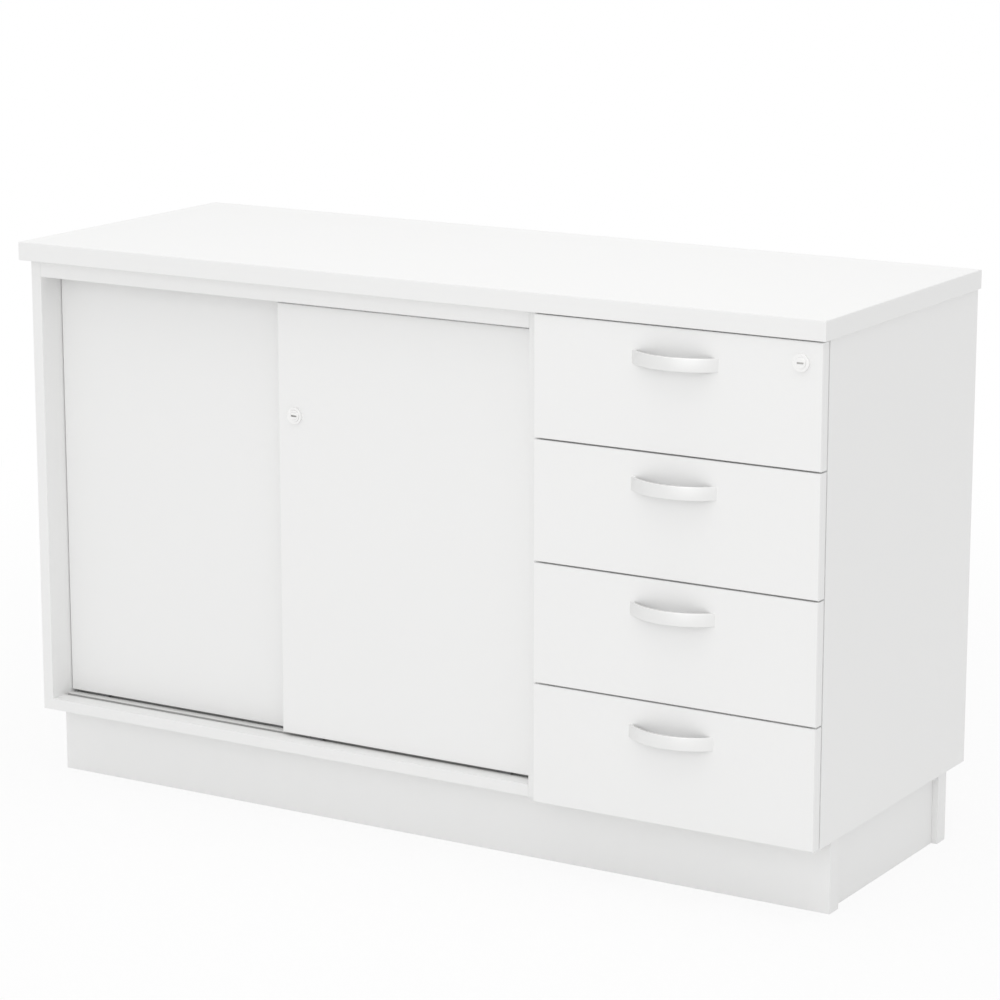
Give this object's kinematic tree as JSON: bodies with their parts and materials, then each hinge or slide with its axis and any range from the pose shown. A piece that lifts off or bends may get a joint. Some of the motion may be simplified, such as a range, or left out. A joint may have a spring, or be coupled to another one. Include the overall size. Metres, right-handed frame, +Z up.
{
  "type": "office credenza",
  "caption": "Low white office credenza: a cupboard with sliding doors and a push lock, beside a pedestal of drawers with bow handles and one central lock.",
  "frame": {"origin": "on the floor, under the middle of the bounding box", "axes": "+X along the worktop towards the drawers, -Y out of the front, +Z up"},
  "size_m": [1.2, 0.47, 0.75],
  "materials": {
    "melamine": "satin white melamine on particle board",
    "handle_white": "satin white powder coat",
    "track_plastic": "matt white extrusion",
    "tray_plastic": "matt pale grey moulding",
    "roller_plastic": "matt grey nylon",
    "slide_steel": "bright zinc",
    "lock_nickel": "satin nickel",
    "bar_aluminium": "mill finish"
  },
  "bodies": {
    "cabinet": {"worktop": "melamine", "left_side_panel": "melamine", "right_side_panel": "melamine", "divider_panel": "melamine", "cupboard_floor": "melamine", "pedestal_floor": "melamine", "back_panel": "melamine", "top_rail": "melamine", "shelf": "melamine", "plinth_front": "melamine", "plinth_rear": "melamine", "plinth_left": "melamine", "plinth_right": "melamine", "upper_track": "track_plastic", "lower_track": "track_plastic", "drawer_1_left_cabinet_rail": "slide_steel", "drawer_1_right_cabinet_rail": "slide_steel", "drawer_2_left_cabinet_rail": "slide_steel", "drawer_2_right_cabinet_rail": "slide_steel", "drawer_3_left_cabinet_rail": "slide_steel", "drawer_3_right_cabinet_rail": "slide_steel", "drawer_4_left_cabinet_rail": "slide_steel", "drawer_4_right_cabinet_rail": "slide_steel"},
    "drawer_1": {"drawer_1_front": "melamine", "drawer_1_handle": "handle_white", "drawer_1_tray": "tray_plastic", "drawer_1_left_rail": "slide_steel", "drawer_1_right_rail": "slide_steel", "drawer_lock_housing": "lock_nickel"},
    "drawer_2": {"drawer_2_front": "melamine", "drawer_2_handle": "handle_white", "drawer_2_tray": "tray_plastic", "drawer_2_left_rail": "slide_steel", "drawer_2_right_rail": "slide_steel"},
    "drawer_3": {"drawer_3_front": "melamine", "drawer_3_handle": "handle_white", "drawer_3_tray": "tray_plastic", "drawer_3_left_rail": "slide_steel", "drawer_3_right_rail": "slide_steel"},
    "drawer_4": {"drawer_4_front": "melamine", "drawer_4_handle": "handle_white", "drawer_4_tray": "tray_plastic", "drawer_4_left_rail": "slide_steel", "drawer_4_right_rail": "slide_steel"},
    "front_door": {"front_door": "melamine", "door_lock_sleeve": "lock_nickel"},
    "rear_door": {"rear_door": "melamine"},
    "front_door_left_roller": {"front_door_left_roller": "roller_plastic"},
    "front_door_right_roller": {"front_door_right_roller": "roller_plastic"},
    "rear_door_left_roller": {"rear_door_left_roller": "roller_plastic"},
    "rear_door_right_roller": {"rear_door_right_roller": "roller_plastic"},
    "door_lock_plunger": {"door_lock_plunger": "lock_nickel"},
    "door_lock_plug": {"door_lock_plug": "lock_nickel"},
    "drawer_lock_plug": {"drawer_lock_plug": "lock_nickel"},
    "lock_bar": {"lock_bar": "bar_aluminium", "lock_bar_fork": "bar_aluminium", "lock_bar_pin_1": "slide_steel", "lock_bar_pin_2": "slide_steel", "lock_bar_pin_3": "slide_steel", "lock_bar_pin_4": "slide_steel"}
  },
  "joints": [
    {"name": "drawer_1_slide", "type": "slide", "parent": "cabinet", "child": "drawer_1", "axis": [0, -1, 0], "range_m": [0, 0.27]},
    {"name": "drawer_2_slide", "type": "slide", "parent": "cabinet", "child": "drawer_2", "axis": [0, -1, 0], "range_m": [0, 0.27]},
    {"name": "drawer_3_slide", "type": "slide", "parent": "cabinet", "child": "drawer_3", "axis": [0, -1, 0], "range_m": [0, 0.27]},
    {"name": "drawer_4_slide", "type": "slide", "parent": "cabinet", "child": "drawer_4", "axis": [0, -1, 0], "range_m": [0, 0.27]},
    {"name": "front_door_slide", "type": "slide", "parent": "cabinet", "child": "front_door", "axis": [-1, 0, 0], "range_m": [0, 0.37]},
    {"name": "rear_door_slide", "type": "slide", "parent": "cabinet", "child": "rear_door", "axis": [1, 0, 0], "range_m": [0, 0.37]},
    {"name": "front_door_left_roller_spin", "type": "hinge", "parent": "front_door", "child": "front_door_left_roller", "pos_m": [-0.159, -0.165, 0.1203], "axis": [0, -1, 0], "range_deg": [0, 1640]},
    {"name": "front_door_right_roller_spin", "type": "hinge", "parent": "front_door", "child": "front_door_right_roller", "pos_m": [0.133, -0.165, 0.1203], "axis": [0, -1, 0], "range_deg": [0, 1640]},
    {"name": "rear_door_left_roller_spin", "type": "hinge", "parent": "rear_door", "child": "rear_door_left_roller", "pos_m": [-0.529, -0.144, 0.1203], "axis": [0, 1, 0], "range_deg": [0, 1640]},
    {"name": "rear_door_right_roller_spin", "type": "hinge", "parent": "rear_door", "child": "rear_door_right_roller", "pos_m": [-0.237, -0.144, 0.1203], "axis": [0, 1, 0], "range_deg": [0, 1640]},
    {"name": "door_lock_push", "type": "slide", "parent": "front_door", "child": "door_lock_plunger", "axis": [0, 1, 0], "range_m": [0, 0.006], "stiffness_N_per_m": 300, "springref_m": -0.005},
    {"name": "door_lock_turn", "type": "hinge", "parent": "door_lock_plunger", "child": "door_lock_plug", "pos_m": [-0.183, -0.176, 0.5485], "axis": [0, 1, 0], "range_deg": [0, 90]},
    {"name": "drawer_lock_turn", "type": "hinge", "parent": "drawer_1", "child": "drawer_lock_plug", "pos_m": [0.567, -0.215, 0.697], "axis": [0, -1, 0], "range_deg": [0, 90]},
    {"name": "lock_bar_lift", "type": "slide", "parent": "cabinet", "child": "lock_bar", "axis": [0, 0, 1], "range_m": [0, 0.0115]}
  ],
  "couplings": [
    {"joint": "front_door_left_roller_spin", "follows": "front_door_slide", "rad_per_m": 76.923},
    {"joint": "front_door_right_roller_spin", "follows": "front_door_slide", "rad_per_m": 76.923},
    {"joint": "rear_door_left_roller_spin", "follows": "rear_door_slide", "rad_per_m": 76.923},
    {"joint": "rear_door_right_roller_spin", "follows": "rear_door_slide", "rad_per_m": 76.923},
    {"joint": "lock_bar_lift", "follows": "drawer_lock_turn", "m_per_rad": 0.0072025}
  ]
}
